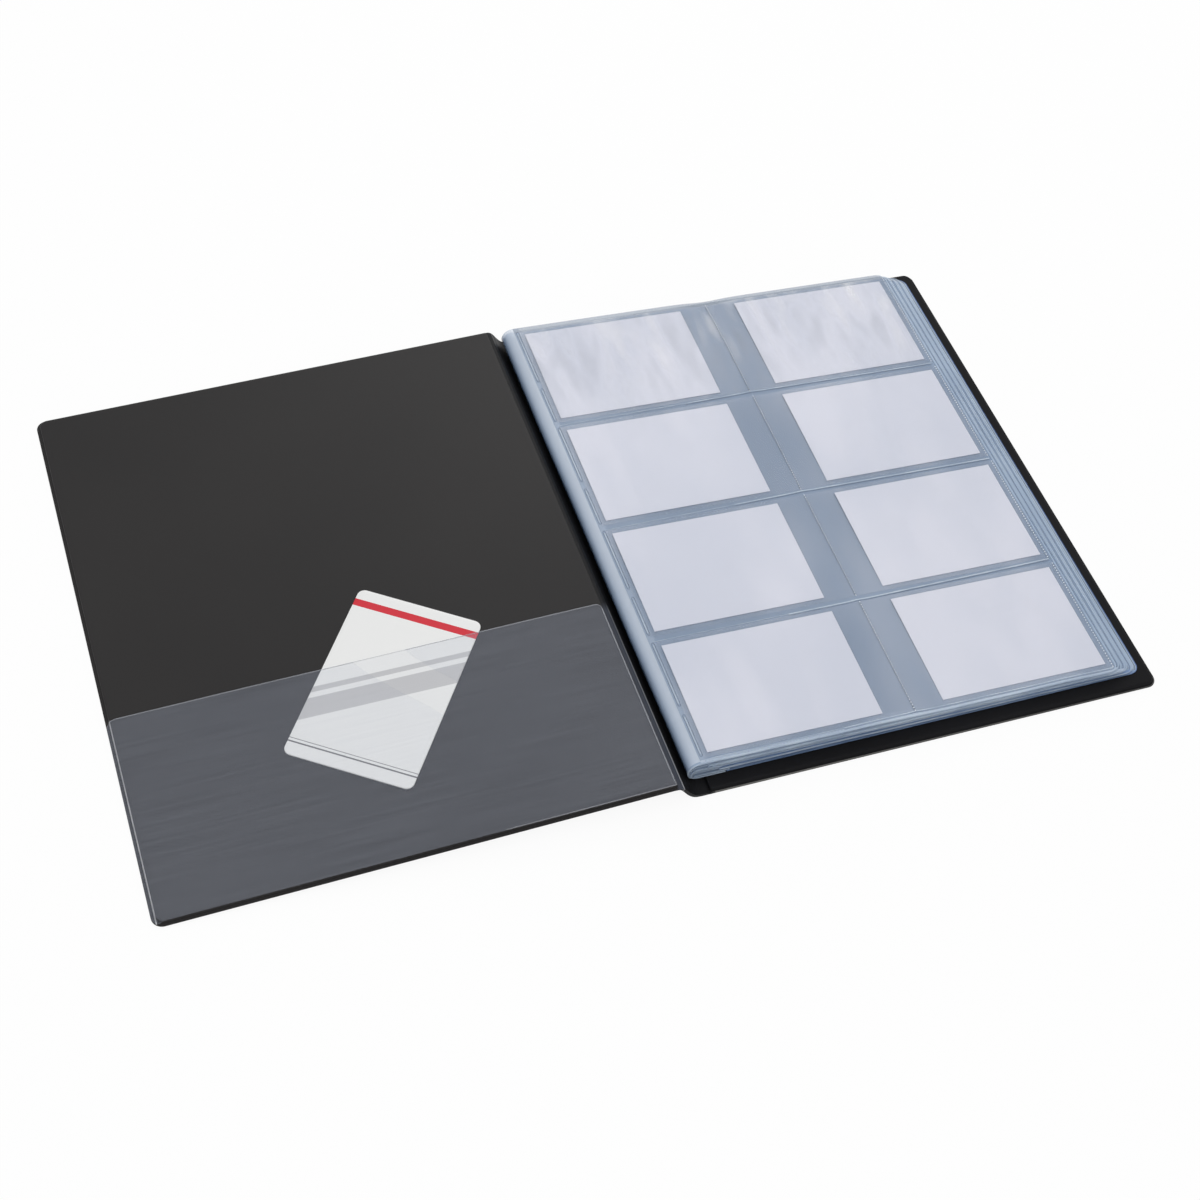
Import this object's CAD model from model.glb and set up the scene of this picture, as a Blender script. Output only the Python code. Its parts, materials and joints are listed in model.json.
import json
import math

import bmesh
import bpy
import numpy as np
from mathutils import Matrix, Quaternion, Vector


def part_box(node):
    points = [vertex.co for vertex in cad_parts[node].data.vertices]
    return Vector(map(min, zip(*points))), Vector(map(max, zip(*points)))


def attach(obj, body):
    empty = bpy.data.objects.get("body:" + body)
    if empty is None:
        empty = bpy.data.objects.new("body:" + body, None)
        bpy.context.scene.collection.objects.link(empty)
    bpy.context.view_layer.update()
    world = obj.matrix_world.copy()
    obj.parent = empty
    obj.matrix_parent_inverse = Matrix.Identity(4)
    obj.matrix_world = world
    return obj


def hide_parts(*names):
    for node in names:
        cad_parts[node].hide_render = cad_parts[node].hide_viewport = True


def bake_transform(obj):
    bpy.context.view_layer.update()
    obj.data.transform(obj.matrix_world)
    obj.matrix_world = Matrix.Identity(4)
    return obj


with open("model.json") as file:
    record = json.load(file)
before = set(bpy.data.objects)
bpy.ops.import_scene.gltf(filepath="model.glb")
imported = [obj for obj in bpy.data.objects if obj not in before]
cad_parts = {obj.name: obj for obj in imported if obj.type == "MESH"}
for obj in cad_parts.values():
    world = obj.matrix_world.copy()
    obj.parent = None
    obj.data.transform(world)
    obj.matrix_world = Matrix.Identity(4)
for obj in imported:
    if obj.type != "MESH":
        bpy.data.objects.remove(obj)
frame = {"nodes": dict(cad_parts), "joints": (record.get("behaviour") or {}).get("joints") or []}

mm = 0.001
scene = bpy.context.scene
nodes = frame["nodes"]
joints = {joint["name"]: joint for joint in frame["joints"]}
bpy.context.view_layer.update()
backHinge = np.array(joints["spine_hinge"]["pos_m"])
frontHinge = np.array(joints["front_hinge"]["pos_m"])
skinLow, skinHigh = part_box("back_outer_skin")
coverTall = skinHigh.y - skinLow.y
coverWide = skinHigh.x - backHinge[0]
bottomEdge = skinLow.y
frontTilt = math.asin((frontHinge[2] - backHinge[2]) / coverWide)
print("frame loaded,", len(nodes), "nodes")


# camera where the photograph was taken from
cameraSettings = dict(
    place=(-0.34967, -0.49567, 0.66615),
    aim=(-0.11460, -0.02570, 0.0),
    roll=9.56,  # degrees
    lens=59.5,
)


def makeCamera(s):
    data = bpy.data.cameras.new("albumCamera")
    data.lens = s["lens"]
    data.sensor_width = 36
    data.clip_start = 0.01
    camera = bpy.data.objects.new("albumCamera", data)
    scene.collection.objects.link(camera)
    line = Vector(s["aim"]) - Vector(s["place"])
    turn = line.to_track_quat("-Z", "Y") @ Quaternion((0, 0, 1), math.radians(s["roll"]))
    camera.location = s["place"]
    camera.rotation_mode = "QUATERNION"
    camera.rotation_quaternion = turn
    scene.camera = camera


makeCamera(cameraSettings)
scene.view_settings.view_transform = "Standard"
scene.cycles.transparent_max_bounces = 64  # many clear films lie on each other
print("camera set")


# a node with its settings, and inputs that are sockets or plain values
def addNode(tree, kind, settings=None, inputs=None):
    made = tree.nodes.new(kind)
    for key, value in (settings or {}).items():
        setattr(made, key, value)
    for key, value in (inputs or {}).items():
        if isinstance(value, bpy.types.NodeSocket):
            tree.links.new(value, made.inputs[key])
        else:
            made.inputs[key].default_value = value
    return made


# a socket that can be used in sums
class Wire:
    def __init__(self, finish, socket):
        self.finish = finish
        self.socket = socket

    def sum(self, operation, first, second):
        return self.finish.node("ShaderNodeMath", dict(operation=operation), {0: first, 1: second})

    def __add__(self, other):
        return self.sum("ADD", self, other)

    def __radd__(self, other):
        return self.sum("ADD", other, self)

    def __sub__(self, other):
        return self.sum("SUBTRACT", self, other)

    def __rsub__(self, other):
        return self.sum("SUBTRACT", other, self)

    def __mul__(self, other):
        return self.sum("MULTIPLY", self, other)

    def __rmul__(self, other):
        return self.sum("MULTIPLY", other, self)

    def __gt__(self, other):
        return self.sum("GREATER_THAN", self, other)

    def __lt__(self, other):
        return self.sum("LESS_THAN", self, other)


class Finish:
    def __init__(self, name, tree=None):
        if tree is None:
            self.material = bpy.data.materials.new(name)
            self.material.use_nodes = True
            tree = self.material.node_tree
        self.tree = tree
        tree.nodes.clear()

    def node(self, kind, settings=None, inputs=None, output=0):
        plain = {key: value.socket if isinstance(value, Wire) else value
                 for key, value in (inputs or {}).items()}
        made = addNode(self.tree, kind, settings, plain)
        return Wire(self, made.outputs[output]) if made.outputs else None

    def place(self):
        return self.node("ShaderNodeTexCoord", output="Object")

    # 1 for what the camera sees straight, in a gloss or through glass
    def seen(self):
        rays = [self.node("ShaderNodeLightPath", output=name)
                for name in ("Is Camera Ray", "Is Glossy Ray", "Is Transmission Ray")]
        return self.node("ShaderNodeMath", dict(operation="MINIMUM"),
                         {0: rays[0] + rays[1] + rays[2], 1: 1.0})

    def noise(self, scale, detail, stretch=(1, 1, 1), turn=(0, 0, 0)):
        spot = self.node("ShaderNodeMapping", None,
                         {"Vector": self.place(), "Scale": stretch, "Rotation": turn})
        return self.node("ShaderNodeTexNoise", None,
                         {"Vector": spot, "Scale": scale, "Detail": detail})

    def ramp(self, value, low, high):
        return self.node("ShaderNodeMapRange", dict(clamp=True),
                         {"Value": value, "From Min": low, "From Max": high})

    def mix(self, share, first, second):
        return self.node("ShaderNodeMix", dict(data_type="RGBA"),
                         {0: share, 6: first, 7: second}, output=2)

    def bump(self, height, strength, distance):
        return self.node("ShaderNodeBump", None,
                         {"Height": height, "Strength": strength, "Distance": distance})

    def shader(self, inputs):
        made = self.node("ShaderNodeBsdfPrincipled", None, inputs)
        self.node("ShaderNodeOutputMaterial", None, {"Surface": made})
        return self.material


def rgba(red, green, blue):
    return (red, green, blue, 1.0)


# studio: pale floor, white background, soft lamps
studioSettings = dict(
    floorSize=6.0,
    floorColour=(0.96, 0.96, 0.96),
    floorGlow=0.92,  # share of plain white in the floor
    worldLight=0.56,
    lamps=(
        # place, power, size, aim
        ((-0.30, -0.35, 1.60), 10.5, 1.8, (-0.10, 0.0, 0.0)),
        ((0.42, 1.10, 0.92), 4.0, 0.8, (-0.05, 0.05, 0.0)),
    ),
)


def makeStudio(s):
    world = bpy.data.worlds.new("whiteStudio")
    scene.world = world
    world.use_nodes = True
    sky = Finish("whiteStudio", world.node_tree)
    back = sky.node("ShaderNodeBackground", None, {
        "Color": rgba(1, 1, 1), "Strength": sky.seen() * (1 - s["worldLight"]) + s["worldLight"]})
    sky.node("ShaderNodeOutputWorld", None, {"Surface": back})

    half = s["floorSize"] / 2
    mesh = bpy.data.meshes.new("floor")
    mesh.from_pydata([(-half, -half, 0), (half, -half, 0), (half, half, 0), (-half, half, 0)],
                     [], [(0, 1, 2, 3)])
    floor = bpy.data.objects.new("floor", mesh)
    scene.collection.objects.link(floor)
    pale = Finish("paleFloor")
    dull = pale.node("ShaderNodeBsdfDiffuse", None, {"Color": rgba(*s["floorColour"])})
    glow = pale.node("ShaderNodeEmission", None, {"Color": rgba(1, 1, 1), "Strength": 1.0})
    both = pale.node("ShaderNodeMixShader", None, {0: pale.seen() * s["floorGlow"], 1: dull, 2: glow})
    pale.node("ShaderNodeOutputMaterial", None, {"Surface": both})
    mesh.materials.append(pale.material)

    for i, (place, power, size, aim) in enumerate(s["lamps"]):
        data = bpy.data.lights.new(f"softLamp{i}", "AREA")
        data.energy = power
        data.shape = "SQUARE"
        data.size = size
        lamp = bpy.data.objects.new(f"softLamp{i}", data)
        scene.collection.objects.link(lamp)
        lamp.location = place
        lamp.rotation_euler = (Vector(aim) - Vector(place)).to_track_quat("-Z", "Y").to_euler()


makeStudio(studioSettings)
print("studio set")


# finishes
def makeVinyl(name, s):
    f = Finish(name)
    grain = f.noise(s["grainScale"], 4.0)
    broad = f.noise(s["broadScale"], 2.0)
    height = grain * s["grainShare"] + broad * (1 - s["grainShare"])
    return f.shader({
        "Base Color": f.mix(f.ramp(broad, 0.35, 0.65), rgba(*s["dark"]), rgba(*s["light"])),
        "Roughness": f.ramp(grain, 0.3, 0.7) * s["roughSpread"] + s["rough"],
        "Specular IOR Level": s["specular"],
        "Normal": f.bump(height, s["bump"], 0.2 * mm),
    })


outerVinyl = makeVinyl("outerVinyl", dict(
    grainScale=1400, broadScale=9, grainShare=0.9, dark=(0.012, 0.012, 0.013), light=(0.016, 0.016, 0.017),
    rough=0.42, roughSpread=0.14, specular=0.25, bump=0.55))
liningVinyl = makeVinyl("liningVinyl", dict(
    grainScale=2600, broadScale=7, grainShare=0.6, dark=(0.0125, 0.0115, 0.0118),
    light=(0.0165, 0.0152, 0.0152), rough=0.40, roughSpread=0.10, specular=0.21, bump=0.10))
backVinyl = makeVinyl("backVinyl", dict(
    grainScale=2600, broadScale=7, grainShare=0.6, dark=(0.008, 0.008, 0.009), light=(0.011, 0.011, 0.0125),
    rough=0.48, roughSpread=0.10, specular=0.06, bump=0.10))
spineVinyl = makeVinyl("spineVinyl", dict(
    grainScale=1600, broadScale=12, grainShare=0.9, dark=(0.007, 0.007, 0.008), light=(0.010, 0.010, 0.011),
    rough=0.40, roughSpread=0.12, specular=0.10, bump=0.25))


# vinyl that turns paler along one axis, partly at once where it starts
def makeRidge(name, s):
    f = Finish(name)
    way = f.node("ShaderNodeSeparateXYZ", None, {0: f.place()}, output=s["axis"])
    start, end = s["start"], s["end"]
    paler = f.ramp(way, start, start - 4 * mm) * s["step"] + f.ramp(way, start, end) * (1 - s["step"])
    grain = f.noise(700, 3.0)
    return f.shader({
        "Base Color": f.mix(paler, rgba(*s["dark"]), rgba(*s["light"])),
        "Roughness": grain * 0.2 + s["rough"],
        "Specular IOR Level": s["specular"],
    })


# pressed line beside the front hinge, and the strip between it and the pocket
ridgeVinyl = makeRidge("ridgeVinyl", dict(
    axis=1, start=-0.034, end=-0.13, step=0.35, dark=(0.012, 0.012, 0.013), light=(0.33, 0.335, 0.35),
    rough=0.25, specular=0.3))
stripVinyl = makeRidge("stripVinyl", dict(
    axis=1, start=-0.034, end=-0.13, step=0.9, dark=(0.008, 0.008, 0.009), light=(0.046, 0.051, 0.066),
    rough=0.35, specular=0.12))
# rim of the back cover along its near edge
rimVinyl = makeRidge("rimVinyl", dict(
    axis=0, start=0.10, end=-0.10, step=0.0, dark=(0.045, 0.044, 0.043), light=(0.15, 0.148, 0.14),
    rough=0.35, specular=0.25))


def makeBoard(s):
    f = Finish("greyBoard")
    fibre = f.noise(s["fibreScale"], 5.0, (1, 4, 1))
    return f.shader({
        "Base Color": f.mix(fibre, rgba(*s["dark"]), rgba(*s["light"])),
        "Roughness": s["rough"],
        "Normal": f.bump(fibre, s["bump"], 0.1 * mm),
    })


greyBoard = makeBoard(dict(
    fibreScale=300, dark=(0.24, 0.19, 0.13), light=(0.34, 0.28, 0.20), rough=0.9, bump=0.4))


def makeFrosted(name, s):
    f = Finish(name)
    # streaks of the rolled film run across the cover
    streak = f.noise(s["streakScale"], 2.0, (0.022, 1.0, 0.0), (0, 0, 0.02))
    cloud = f.noise(6.0, 2.0)
    shade = f.ramp(streak, 0.32, 0.72) * 0.7 + f.ramp(cloud, 0.3, 0.7) * 0.3
    return f.shader({
        "Base Color": f.mix(shade, rgba(*s["dark"]), rgba(*s["light"])),
        "Alpha": shade * s["alphaSpread"] + s["alpha"],
        "Roughness": f.ramp(streak, 0.2, 0.8) * 0.12 + s["rough"],
        "Specular IOR Level": s["specular"],
    })


# alpha is for one face; every film has two
frostedFilm = makeFrosted("frostedFilm", dict(
    streakScale=900, dark=(0.555, 0.605, 0.725), light=(0.645, 0.695, 0.815), alpha=0.067, alphaSpread=0.022,
    rough=0.45, specular=0.05))
frostedEdge = makeFrosted("frostedEdge", dict(
    streakScale=560, dark=(0.42, 0.44, 0.49), light=(0.52, 0.54, 0.59), alpha=0.26, alphaSpread=0.10,
    rough=0.25, specular=0.4))
frostedLine = makeFrosted("frostedLine", dict(
    streakScale=300, dark=(0.60, 0.62, 0.67), light=(0.76, 0.77, 0.81), alpha=0.50, alphaSpread=0.15,
    rough=0.25, specular=0.4))


def makeClear(name, s):
    f = Finish(name)
    # soft bands of a film that lies loose
    ripple = f.noise(s["rippleScale"], 1.0, (1.0, 0.35, 1.0), (0, 0, 0.5))
    share = f.ramp(ripple, 0.36, 0.66)
    return f.shader({
        "Base Color": f.mix(share, rgba(*s["dark"]), rgba(*s["light"])),
        "Alpha": share * s["alphaSpread"] + s["alpha"],
        "Roughness": share * 0.06 + s["rough"],
        "Specular IOR Level": s["specular"],
        "Normal": f.bump(ripple, s["bump"], 1.0 * mm),
    })


clearFilm = makeClear("clearFilm", dict(
    rippleScale=24, dark=(0.37, 0.465, 0.61), light=(0.43, 0.525, 0.67), alpha=0.42, alphaSpread=0.06,
    rough=0.16, specular=0.2, bump=0.2))
deepFilm = makeClear("deepFilm", dict(
    rippleScale=20, dark=(0.41, 0.51, 0.66), light=(0.49, 0.59, 0.73), alpha=0.22, alphaSpread=0.05,
    rough=0.18, specular=0.2, bump=0.15))
baseFilm = makeClear("baseFilm", dict(
    rippleScale=20, dark=(0.425, 0.54, 0.70), light=(0.50, 0.615, 0.765), alpha=0.50, alphaSpread=0.08,
    rough=0.2, specular=0.12, bump=0.0))
filmMargin = makeClear("filmMargin", dict(
    rippleScale=50, dark=(0.39, 0.50, 0.66), light=(0.50, 0.61, 0.77), alpha=0.38, alphaSpread=0.10,
    rough=0.2, specular=0.15, bump=0.1))
nearHem = makeClear("nearHem", dict(
    rippleScale=30, dark=(0.58, 0.68, 0.82), light=(0.69, 0.78, 0.90), alpha=0.45, alphaSpread=0.08,
    rough=0.2, specular=0.15, bump=0.0))
blueMargin = makeClear("blueMargin", dict(
    rippleScale=50, dark=(0.24, 0.36, 0.60), light=(0.36, 0.49, 0.72), alpha=0.50, alphaSpread=0.10,
    rough=0.2, specular=0.15, bump=0.1))
blueShade = makeClear("blueShade", dict(
    rippleScale=50, dark=(0.12, 0.20, 0.42), light=(0.18, 0.28, 0.54), alpha=0.55, alphaSpread=0.10,
    rough=0.3, specular=0.1, bump=0.0))
farHem = makeClear("farHem", dict(
    rippleScale=30, dark=(0.38, 0.44, 0.53), light=(0.45, 0.51, 0.60), alpha=0.50, alphaSpread=0.05,
    rough=0.3, specular=0.2, bump=0.1))
filmEdge = makeClear("filmEdge", dict(
    rippleScale=60, dark=(0.55, 0.66, 0.80), light=(0.67, 0.77, 0.89), alpha=0.42, alphaSpread=0.15,
    rough=0.16, specular=0.15, bump=0.1))
edgeShade = makeClear("edgeShade", dict(
    rippleScale=60, dark=(0.28, 0.37, 0.51), light=(0.36, 0.46, 0.60), alpha=0.38, alphaSpread=0.08,
    rough=0.25, specular=0.15, bump=0.0))
weldPress = makeClear("weldPress", dict(
    rippleScale=90, dark=(0.60, 0.70, 0.82), light=(0.76, 0.84, 0.93), alpha=0.46, alphaSpread=0.12,
    rough=0.16, specular=0.5, bump=0.1))
weldRib = makeClear("weldRib", dict(
    rippleScale=70, dark=(0.52, 0.61, 0.73), light=(0.64, 0.72, 0.82), alpha=0.34, alphaSpread=0.12,
    rough=0.16, specular=0.4, bump=0.1))
weldDot = makeClear("weldDot", dict(
    rippleScale=90, dark=(0.84, 0.90, 0.96), light=(0.92, 0.95, 0.99), alpha=0.86, alphaSpread=0.08,
    rough=0.2, specular=0.3, bump=0.0))
weldShade = makeClear("weldShade", dict(
    rippleScale=90, dark=(0.17, 0.23, 0.33), light=(0.25, 0.32, 0.43), alpha=0.36, alphaSpread=0.10,
    rough=0.22, specular=0.3, bump=0.1))


# film of the fold, blue low down and pale at the top
def makeFoldFilm(s):
    f = Finish("foldFilm")
    way = f.node("ShaderNodeSeparateXYZ", None, {0: f.place()}, output=2)
    cloud = f.ramp(f.noise(s["cloudScale"], 1.0), 0.35, 0.65)
    tone = f.mix(f.ramp(way, s["levels"][0], s["levels"][1]), rgba(*s["deep"]), rgba(*s["middle"]))
    tone = f.mix(f.ramp(way, s["levels"][1], s["levels"][2]), tone, rgba(*s["pale"]))
    return f.shader({
        "Base Color": tone,
        "Alpha": cloud * 0.06 + s["alpha"],
        "Roughness": cloud * 0.06 + 0.18,
        "Specular IOR Level": 0.5,
    })


foldFilm = makeFoldFilm(dict(
    cloudScale=12, levels=(7.4 * mm, 10.2 * mm, 12.9 * mm), deep=(0.15, 0.24, 0.42),
    middle=(0.49, 0.61, 0.79), pale=(0.70, 0.78, 0.89), alpha=0.50))


# film over the inserts, with soft creases that fade out below the upper rows
def makePocketFilm(s):
    f = Finish("pocketFilm")
    way = f.node("ShaderNodeSeparateXYZ", None, {0: f.place()}, output=1)
    upper = f.ramp(way, s["fade"][0], s["fade"][1])
    bend = f.noise(s["bendScale"], 1.0)
    crease = f.noise(s["creaseScale"], 1.0, (1.0, 0.30, 1.0), (0, 0, -0.35)) + bend * 0.25
    pale = f.ramp(crease, 0.62, 0.86) * upper
    deep = f.ramp(crease, 0.62, 0.44) * upper
    ripple = f.ramp(f.noise(s["rippleScale"], 1.0, (1.0, 0.35, 1.0), (0, 0, 0.5)), 0.36, 0.66)
    soft = f.mix(ripple, rgba(*s["dark"]), rgba(*s["light"]))
    soft = f.mix(deep, soft, rgba(*s["deep"]))
    return f.shader({
        "Base Color": f.mix(pale, soft, rgba(*s["pale"])),
        "Alpha": ripple * s["alphaSpread"] + pale * s["paleAlpha"] + deep * s["deepAlpha"] + s["alpha"],
        "Roughness": ripple * 0.06 + 0.12,
        "Specular IOR Level": 0.4,
        "Normal": f.bump(crease, 0.3, 1.0 * mm),
    })


pocketFilm = makePocketFilm(dict(
    fade=(0.045, 0.105), bendScale=22, creaseScale=105, rippleScale=46, dark=(0.46, 0.52, 0.63),
    light=(0.76, 0.78, 0.85), pale=(0.97, 0.97, 0.98), deep=(0.52, 0.55, 0.62),
    alpha=0.080, alphaSpread=0.030, paleAlpha=0.16, deepAlpha=0.07))


def makePaper(s):
    f = Finish("whitePaper")
    fibre = f.noise(s["fibreScale"], 4.0)
    soft = f.noise(s["softScale"], 2.0)
    return f.shader({
        "Base Color": f.mix(f.ramp(soft, 0.35, 0.65), rgba(*s["dark"]), rgba(*s["light"])),
        "Roughness": fibre * s["roughSpread"] + s["rough"],
        "Specular IOR Level": s["specular"],
        "Normal": f.bump(fibre, s["bump"], 0.05 * mm),
    })


whitePaper = makePaper(dict(
    fibreScale=900, softScale=14, dark=(0.75, 0.765, 0.85), light=(0.79, 0.80, 0.88),
    rough=0.7, roughSpread=0.2, specular=0.2, bump=0.15))


# meshes
def makePiece(name, points, faces, materials, faceSlots=None, angle=40):
    mesh = bpy.data.meshes.new(name)
    mesh.from_pydata([tuple(p) for p in points], [], faces)
    for material in materials:
        mesh.materials.append(material)
    if faceSlots is not None:
        mesh.polygons.foreach_set("material_index", np.array(faceSlots, np.int32))
    work = bmesh.new()
    work.from_mesh(mesh)
    bmesh.ops.recalc_face_normals(work, faces=work.faces)
    work.to_mesh(mesh)
    work.free()
    mesh.shade_smooth()
    mesh.set_sharp_from_angle(angle=math.radians(angle))
    piece = bpy.data.objects.new(name, mesh)
    scene.collection.objects.link(piece)
    return piece


# closed sheet of a given thickness around a grid of points
def sheetShell(grid, thick):
    along = np.gradient(grid, axis=0)
    across = np.gradient(grid, axis=1)
    normal = np.cross(along, across)
    normal /= np.linalg.norm(normal, axis=2, keepdims=True) + 1e-12
    half = np.broadcast_to(np.asarray(thick, float), grid.shape[:2])[..., None] / 2
    rows, columns = grid.shape[:2]
    points = np.concatenate([(grid + normal * half).reshape(-1, 3), (grid - normal * half).reshape(-1, 3)])
    under = rows * columns

    def at(i, j):
        return i * columns + j

    faces, cells = [], []
    for i in range(rows - 1):
        for j in range(columns - 1):
            quad = (at(i, j), at(i + 1, j), at(i + 1, j + 1), at(i, j + 1))
            faces.append(quad)
            faces.append(tuple(under + q for q in reversed(quad)))
            cells += [(i, j)] * 2
    rim = ([(at(i, 0), at(i + 1, 0), (i, 0)) for i in range(rows - 1)]
           + [(at(rows - 1, j), at(rows - 1, j + 1), (rows - 2, j)) for j in range(columns - 1)]
           + [(at(i + 1, columns - 1), at(i, columns - 1), (i, columns - 2)) for i in range(rows - 1)]
           + [(at(0, j + 1), at(0, j), (0, j)) for j in range(columns - 1)])
    for a, b, cell in rim:
        faces.append((a, under + a, under + b, b))
        cells.append(cell)
    return points, faces, cells


# several shells in one mesh; a shell is points, faces and a slot for each face
def joinShells(shells):
    points, faces, slots, start = [], [], [], 0
    for shellPoints, shellFaces, shellSlots in shells:
        points.append(shellPoints)
        faces += [tuple(start + v for v in face) for face in shellFaces]
        slots += list(shellSlots)
        start += len(shellPoints)
    return np.concatenate(points), faces, slots


# rings of equal length, joined one to the next and closed at both ends
def ringShell(rings):
    count = len(rings[0])
    points = np.concatenate(rings)
    faces = [tuple(range(count))]
    for level in range(len(rings) - 1):
        for i in range(count):
            a, b = level * count + i, level * count + (i + 1) % count
            faces.append((a, b, b + count, a + count))
    last = (len(rings) - 1) * count
    faces.append(tuple(range(last + count - 1, last - 1, -1)))
    return points, faces


# rounded rectangle, radius given for each corner from the lower left round
def roundedOutline(left, right, low, high, radii, steps=9):
    corners = ((left, low, 180), (right, low, 270), (right, high, 0), (left, high, 90))
    line = []
    for (x, y, start), radius in zip(corners, radii):
        cx = x + radius if x == left else x - radius
        cy = y + radius if y == low else y - radius
        for i in range(steps):
            angle = math.radians(start + 90 * i / (steps - 1))
            line.append((cx + radius * math.cos(angle), cy + radius * math.sin(angle)))
    return np.array(line)


# round-backed bar that stands up along a path
def barShell(path, width, height, closed=False):
    path = np.asarray(path, float)
    up = np.array((0.0, 0.0, 1.0))
    ahead = np.roll(path, -1, 0) - np.roll(path, 1, 0) if closed else np.gradient(path, axis=0)
    side = np.cross(ahead, up)
    side /= np.linalg.norm(side, axis=1, keepdims=True)
    profile = [(-0.5, -0.1), (-0.42, 0.45), (-0.2, 0.9), (0.2, 0.9), (0.42, 0.45), (0.5, -0.1)]
    size = len(profile)
    points = np.array([p + s * (w * width) + up * (h * height)
                       for p, s in zip(path, side) for w, h in profile])
    count = len(path)
    faces = []
    for i in range(count if closed else count - 1):
        a, b = i * size, ((i + 1) % count) * size
        for j in range(size):
            k = (j + 1) % size
            faces.append((a + j, a + k, b + k, b + j))
    if not closed:
        faces.append(tuple(range(size)))
        faces.append(tuple(range((count - 1) * size + size - 1, (count - 1) * size - 1, -1)))
    return points, faces, [0] * len(faces)


def smooth(value):
    t = np.clip(value, 0, 1)
    return t * t * (3 - 2 * t)


# how far a rounded corner comes in at a distance from the side
def cornerCut(radius, gap):
    gap = np.maximum(radius - gap, 0)
    return radius - np.sqrt(np.maximum(radius ** 2 - gap ** 2, 0))


# places in order, each one once
def merged(*parts):
    return np.unique(np.round(np.concatenate(parts), 7))


# more points on a line, at equal steps between its marks
def refined(marks, count):
    marks = np.array(marks)
    steps = np.linspace(0, len(marks) - 1, count)
    return np.stack([np.interp(steps, np.arange(len(marks)), column) for column in marks.T], 1)


def ride(piece, body, slot, *replaced):
    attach(piece, body)
    if replaced:
        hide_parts(*replaced)
    return piece


# places on the two covers, from a hinge line outwards, up the cover and up from its outer face
def onBack(u, v, w):
    return np.stack(np.broadcast_arrays(backHinge[0] + u, v, w), -1)


def onFront(u, v, w):
    out, lift = -np.asarray(u, float), np.asarray(w, float) - backHinge[2]
    x = frontHinge[0] + out * math.cos(frontTilt) - lift * math.sin(frontTilt)
    z = frontHinge[2] + out * math.sin(frontTilt) + lift * math.cos(frontTilt)
    return np.stack(np.broadcast_arrays(x, v, z), -1)


# covers: a skin outside, and a lining with a raised panel over the board
coverSettings = dict(
    gap=0.1 * mm,  # hinge line to edge
    hingeRim=0.4,  # share of the rim's width beside the hinge
    cornerRadius=4.5 * mm,
    hingeCorner=1.2 * mm,
    leastCorners=(0.9 * mm, 0.4 * mm),  # of inner rings, at the fore edge and at the hinge
    foreExtra=0.45 * mm,  # by which the rim is wider at the fore edge
    foreFrom=0.6 * mm,
    foreRun=0.25 * mm,
    rimLevels=(7, 13),
    # inset and height of each ring, in mm
    skin=((1.9, 0.40), (0.4, 0.40), (0.03, 0.39), (0.0, 0.30), (0.06, 0.14), (0.22, 0.03), (0.5, 0.0),
          (3.5, 0.0)),
    lining=((1.56, 1.99), (1.54, 1.9), (1.53, 0.5), (1.5, 0.41), (1.1, 0.405), (0.4, 0.405), (0.05, 0.42),
            (0.0, 0.52), (0.04, 0.68), (0.14, 0.78), (0.28, 0.81), (0.42, 0.79), (0.52, 0.72), (0.62, 0.69),
            (0.72, 0.72), (0.82, 0.82), (0.92, 1.02), (0.99, 1.34), (1.05, 1.76), (1.17, 2.10), (1.36, 2.31),
            (1.64, 2.395), (2.4, 2.405), (5.0, 2.40)),
)


# inset at the fore edge for an inset elsewhere
def foreInset(inset):
    s = coverSettings
    return inset + s["foreExtra"] * smooth((inset - s["foreFrom"]) / s["foreRun"])


def makeCover(side, place, s):
    def ring(inset, height):
        inset, height = inset * mm, height * mm
        fore = max(s["cornerRadius"] - inset, s["leastCorners"][0])
        near = max(s["hingeCorner"] - inset * 0.3, s["leastCorners"][1])
        line = roundedOutline(s["gap"] + s["hingeRim"] * inset, coverWide - foreInset(inset),
                              -coverTall / 2 + inset, coverTall / 2 - inset, (near, fore, fore, near))
        return place(line[:, 0], line[:, 1], height)

    # the near half of a ring's rim, on the back cover
    def slots(count, levels):
        first, last = s["rimLevels"]
        rim = [1 if first <= level < last and i < count / 2 - 1 else 0
               for level in range(levels - 1) for i in range(count)]
        return [0] + rim + [0]

    body = side + "_cover"
    inside = backVinyl if side == "back" else liningVinyl
    for part, finish, slot in (("skin", outerVinyl, "outer_skin"), ("lining", inside, "lining")):
        rings = [ring(*level) for level in s[part]]
        points, faces = ringShell(rings)
        marked = slots(len(rings[0]), len(rings)) if (side, part) == ("back", "lining") else None
        piece = makePiece(f"{side}Cover{part.capitalize()}", points, faces, [finish, rimVinyl], marked)
        ride(piece, body, slot, side + ("_outer_skin" if part == "skin" else "_lining"))
    nodes[side + "_board"].data.materials.clear()
    nodes[side + "_board"].data.materials.append(greyBoard)


makeCover("back", onBack, coverSettings)
makeCover("front", onFront, coverSettings)
print("covers made")


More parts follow.
